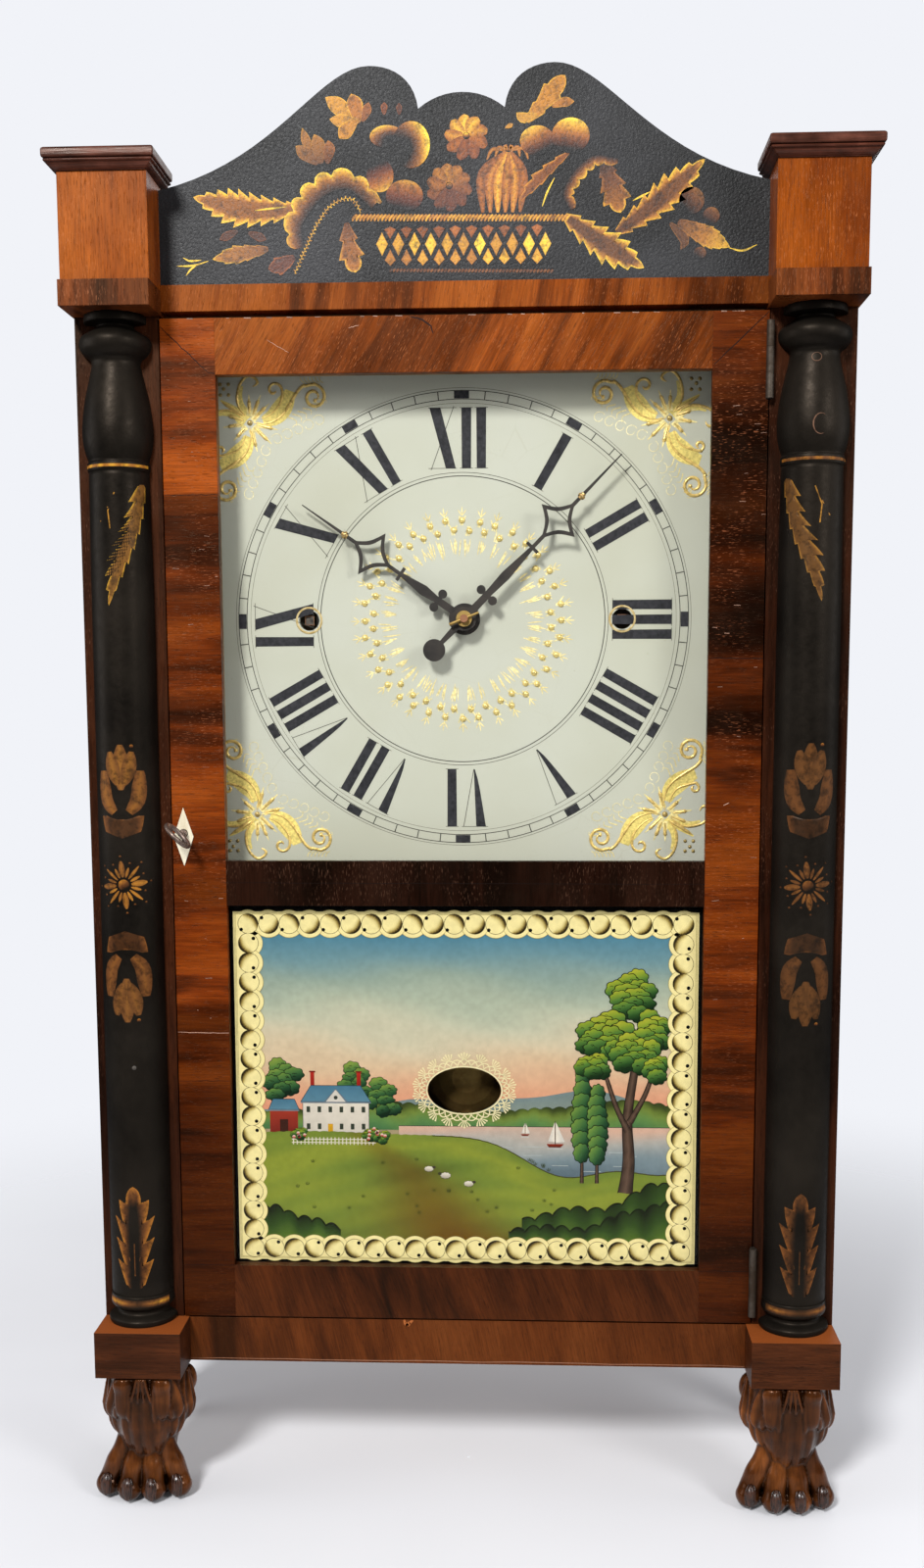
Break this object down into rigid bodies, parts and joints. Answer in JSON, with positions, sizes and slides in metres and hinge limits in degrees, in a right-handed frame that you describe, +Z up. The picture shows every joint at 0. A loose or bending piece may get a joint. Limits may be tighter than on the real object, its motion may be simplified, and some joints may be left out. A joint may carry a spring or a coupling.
{
  "type": "shelf clock",
  "caption": "Column and splat shelf clock: hinged glazed door with painted tablet, half columns, paw feet, weight-driven movement, pendulum and hour strike.",
  "frame": {"origin": "on the floor plane, under the middle of the clock's overall box", "axes": "+X to the right seen from the front, +Y to the back, +Z up"},
  "size_m": [0.453, 0.146, 0.8293],
  "materials": {
    "mahogany": "old shellac over figured veneer",
    "stained_pine": "thin dark stain",
    "inner_pine": "bare aged pine",
    "ebonised_wood": "black paint with worn bronze stencilling",
    "carved_mahogany": "dark polished carving",
    "window_glass": "old clear glass",
    "painted_glass": "painted on the back",
    "bone": null,
    "iron": "brown-black iron",
    "painted_dial": "aged oil paint on wood with raised gilt ornament",
    "black_hands": "blackened iron",
    "brass": "dull old brass",
    "oak": "bare oak",
    "cherry_wood": "bare cherry",
    "steel_wire": "drawn wire",
    "cast_iron": "rough casting",
    "cord": "twisted linen cord"
  },
  "bodies": {
    "case": {"case_sides": "stained_pine", "top_board": "inner_pine", "bottom_board": "inner_pine", "backboard": "stained_pine", "case_stiles": "mahogany", "top_rail": "mahogany", "bottom_rail": "mahogany", "lower_blocks": "mahogany", "upper_blocks": "mahogany", "block_bands": "mahogany", "block_caps": "mahogany", "columns": "ebonised_wood", "splat": "ebonised_wood", "front_feet": "carved_mahogany", "rear_feet": "stained_pine", "movement_posts": "inner_pine", "hinge_case_leaves": "iron", "dial": "painted_dial", "front_plate": "oak", "back_plate": "oak", "bell": "brass", "lead_cords": "cord"},
    "door": {"door_stile_left": "mahogany", "door_stile_right": "mahogany", "door_top_rail": "mahogany", "door_mid_rail": "mahogany", "door_bottom_rail": "mahogany", "dial_window_glass": "window_glass", "tablet_glass": "painted_glass", "glazing_strips": "stained_pine", "escutcheon": "bone", "lock_case": "iron", "hinge_door_leaves": "iron"},
    "bolt": {"lock_bolt": "iron"},
    "key": {"key": "iron"},
    "minute": {"minute_pipe": "brass", "minute_hand": "black_hands"},
    "hour": {"hour_wheel": "cherry_wood", "hour_hand": "black_hands"},
    "motion": {"motion_wheel": "cherry_wood"},
    "great_time": {"time_great_wheel": "cherry_wood"},
    "centre": {"centre_wheel": "cherry_wood", "hand_washer": "brass"},
    "third": {"third_wheel": "cherry_wood"},
    "escape": {"escape_wheel": "brass"},
    "verge": {"verge": "iron"},
    "pendulum": {"pendulum_rod": "steel_wire", "pendulum_bob": "brass"},
    "drum_time": {"time_drum": "cherry_wood"},
    "drum_strike": {"strike_drum": "cherry_wood"},
    "great_strike": {"strike_great_wheel": "cherry_wood"},
    "pin_wheel": {"strike_pin_wheel": "cherry_wood"},
    "fly": {"strike_fly": "cherry_wood"},
    "hammer": {"hammer": "iron"},
    "left_weight": {"weight_left": "cast_iron", "fall_cord_left": "cord"},
    "right_weight": {"weight_right": "cast_iron", "fall_cord_right": "cord"},
    "left_pulley": {"pulley_left": "cherry_wood"},
    "right_pulley": {"pulley_right": "cherry_wood"}
  },
  "joints": [
    {"name": "door_swing", "type": "hinge", "parent": "case", "child": "door", "pos_m": [0.1716, -0.0434, 0.4], "axis": [0, 0, 1], "range_deg": [0, 115]},
    {"name": "key_turn", "type": "hinge", "parent": "door", "child": "key", "pos_m": [-0.1645, -0.03, 0.4039], "axis": [0, 1, 0], "range_deg": [0, 90]},
    {"name": "bolt_slide", "type": "slide", "parent": "door", "child": "bolt", "axis": [-1, 0, 0], "range_m": [0, 0.0045]},
    {"name": "minute_hand_turn", "type": "hinge", "parent": "case", "child": "minute", "pos_m": [0, 0, 0.528], "axis": [0, 1, 0], "continuous": true},
    {"name": "hour_hand_turn", "type": "hinge", "parent": "case", "child": "hour", "pos_m": [0, 0, 0.528], "axis": [0, 1, 0], "continuous": true},
    {"name": "motion_wheel_turn", "type": "hinge", "parent": "case", "child": "motion", "pos_m": [0.01697, 0, 0.51103], "axis": [0, 1, 0], "continuous": true},
    {"name": "going_train_turn", "type": "hinge", "parent": "case", "child": "third", "pos_m": [0, 0, 0.5658], "axis": [0, 1, 0], "continuous": true},
    {"name": "centre_wheel_turn", "type": "hinge", "parent": "case", "child": "centre", "pos_m": [0, 0, 0.528], "axis": [0, 1, 0], "continuous": true},
    {"name": "time_great_wheel_turn", "type": "hinge", "parent": "case", "child": "great_time", "pos_m": [-0.0925, 0, 0.528], "axis": [0, 1, 0], "continuous": true},
    {"name": "escape_wheel_turn", "type": "hinge", "parent": "case", "child": "escape", "pos_m": [0, 0, 0.5973], "axis": [0, 1, 0], "continuous": true},
    {"name": "pendulum_swing", "type": "hinge", "parent": "case", "child": "pendulum", "pos_m": [0, 0, 0.625], "axis": [0, 1, 0], "range_deg": [-4.5, 4.5]},
    {"name": "verge_rock", "type": "hinge", "parent": "case", "child": "verge", "pos_m": [0, 0, 0.625], "axis": [0, 1, 0], "range_deg": [-4.5, 4.5]},
    {"name": "left_weight_drop", "type": "slide", "parent": "case", "child": "left_weight", "axis": [0, 0, 1], "range_m": [-0.205, 0.18], "deforming": ["fall_cord_left"]},
    {"name": "right_weight_drop", "type": "slide", "parent": "case", "child": "right_weight", "axis": [0, 0, 1], "range_m": [-0.205, 0.18], "deforming": ["fall_cord_right"]},
    {"name": "time_drum_wind", "type": "hinge", "parent": "case", "child": "drum_time", "pos_m": [-0.0925, 0, 0.528], "axis": [0, 1, 0], "range_deg": [-780, 685]},
    {"name": "strike_drum_wind", "type": "hinge", "parent": "case", "child": "drum_strike", "pos_m": [0.0925, 0, 0.528], "axis": [0, 1, 0], "range_deg": [-685, 780]},
    {"name": "left_pulley_turn", "type": "hinge", "parent": "case", "child": "left_pulley", "pos_m": [-0.172, 0, 0.682], "axis": [0, 1, 0], "range_deg": [-985, 865]},
    {"name": "right_pulley_turn", "type": "hinge", "parent": "case", "child": "right_pulley", "pos_m": [0.172, 0, 0.682], "axis": [0, 1, 0], "range_deg": [-865, 985]},
    {"name": "strike_train_turn", "type": "hinge", "parent": "case", "child": "pin_wheel", "pos_m": [0.02582, 0, 0.48131], "axis": [0, 1, 0], "continuous": true},
    {"name": "strike_great_wheel_turn", "type": "hinge", "parent": "case", "child": "great_strike", "pos_m": [0.0925, 0, 0.528], "axis": [0, 1, 0], "continuous": true},
    {"name": "fly_turn", "type": "hinge", "parent": "case", "child": "fly", "pos_m": [0.02582, 0, 0.44771], "axis": [0, 1, 0], "continuous": true},
    {"name": "hammer_swing", "type": "hinge", "parent": "case", "child": "hammer", "pos_m": [0.072, 0, 0.438], "axis": [0, 1, 0], "range_deg": [-14, 0]}
  ],
  "couplings": [
    {"joint": "bolt_slide", "follows": "key_turn", "m_per_rad": 0.0028648},
    {"joint": "hour_hand_turn", "follows": "minute_hand_turn", "ratio": 0.083333},
    {"joint": "motion_wheel_turn", "follows": "minute_hand_turn", "ratio": -0.33333},
    {"joint": "centre_wheel_turn", "follows": "going_train_turn", "ratio": -0.125},
    {"joint": "time_great_wheel_turn", "follows": "going_train_turn", "ratio": 0.019531},
    {"joint": "escape_wheel_turn", "follows": "going_train_turn", "ratio": -8},
    {"joint": "verge_rock", "follows": "pendulum_swing", "ratio": 1},
    {"joint": "time_drum_wind", "follows": "left_weight_drop", "rad_per_m": 66.007},
    {"joint": "left_pulley_turn", "follows": "left_weight_drop", "rad_per_m": 83.333},
    {"joint": "strike_drum_wind", "follows": "right_weight_drop", "rad_per_m": -66.007},
    {"joint": "right_pulley_turn", "follows": "right_weight_drop", "rad_per_m": -83.333},
    {"joint": "strike_great_wheel_turn", "follows": "strike_train_turn", "ratio": -0.15625},
    {"joint": "fly_turn", "follows": "strike_train_turn", "ratio": -6}
  ]
}
